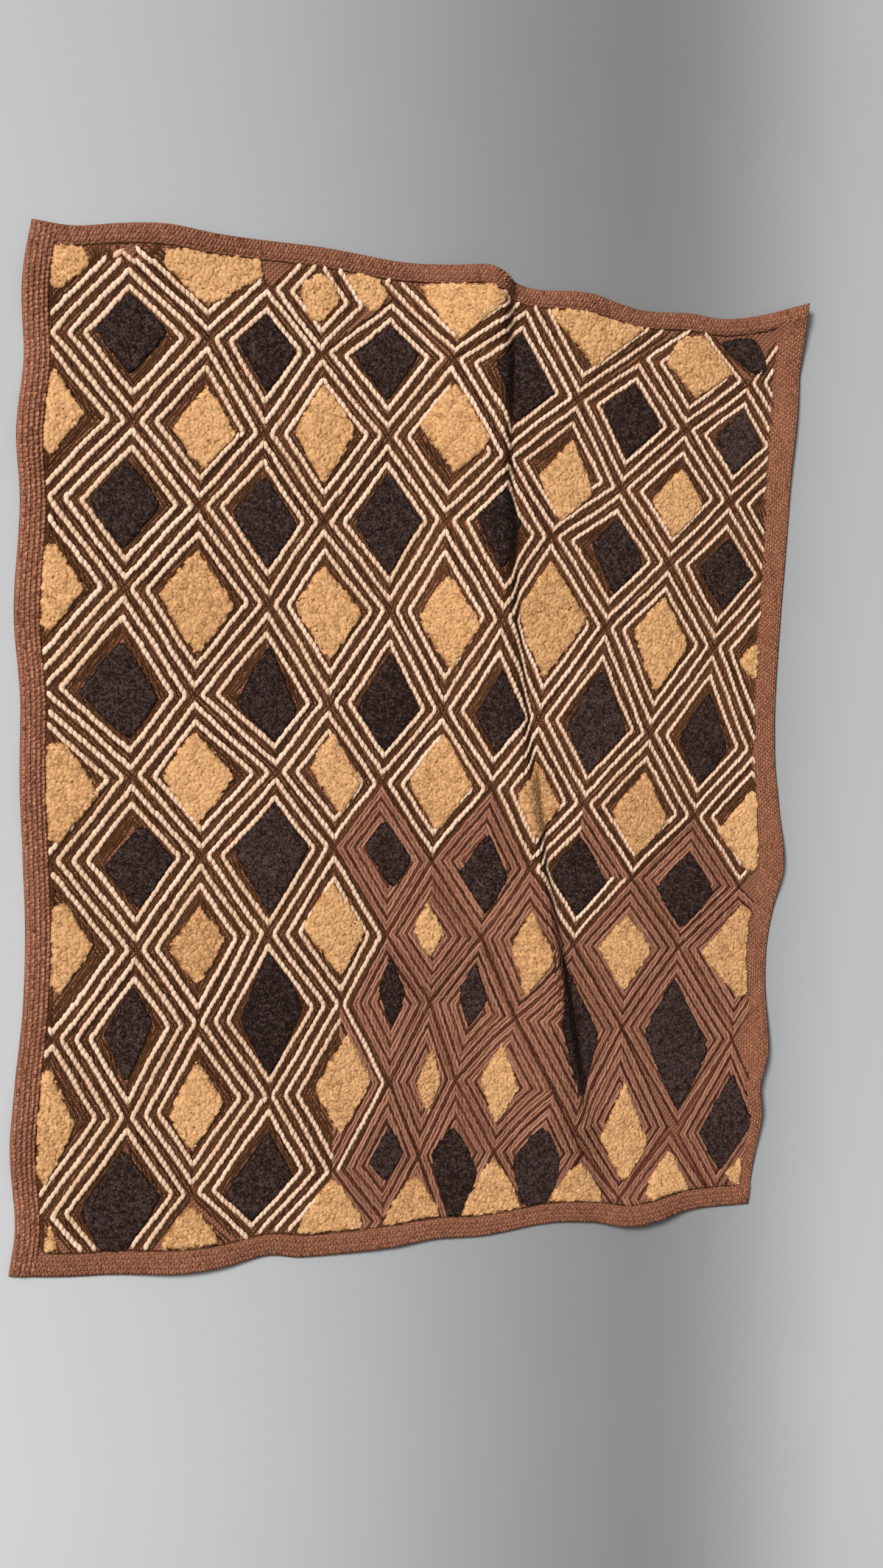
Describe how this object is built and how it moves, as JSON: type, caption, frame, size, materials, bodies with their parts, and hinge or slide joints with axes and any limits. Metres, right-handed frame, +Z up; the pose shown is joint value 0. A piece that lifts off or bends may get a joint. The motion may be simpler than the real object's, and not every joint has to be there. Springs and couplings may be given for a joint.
{
  "type": "kuba raffia cloth",
  "caption": "Rectangular raffia panel with turned hems, laid flat face up with a long soft ridge and lifted edges, embroidered with cut-pile and stitched diamonds.",
  "frame": {"origin": "middle of the cloth's outline, on the surface that it lies on", "axes": "+Z up from the embroidered face, +Y towards the cloth's top edge along its longer side, +X to the right across it"},
  "size_m": [0.495, 0.5926, 0.0156],
  "materials": {
    "raffia": "matte"
  },
  "bodies": {
    "root": {"raffia_cloth": "raffia"}
  },
  "joints": []
}
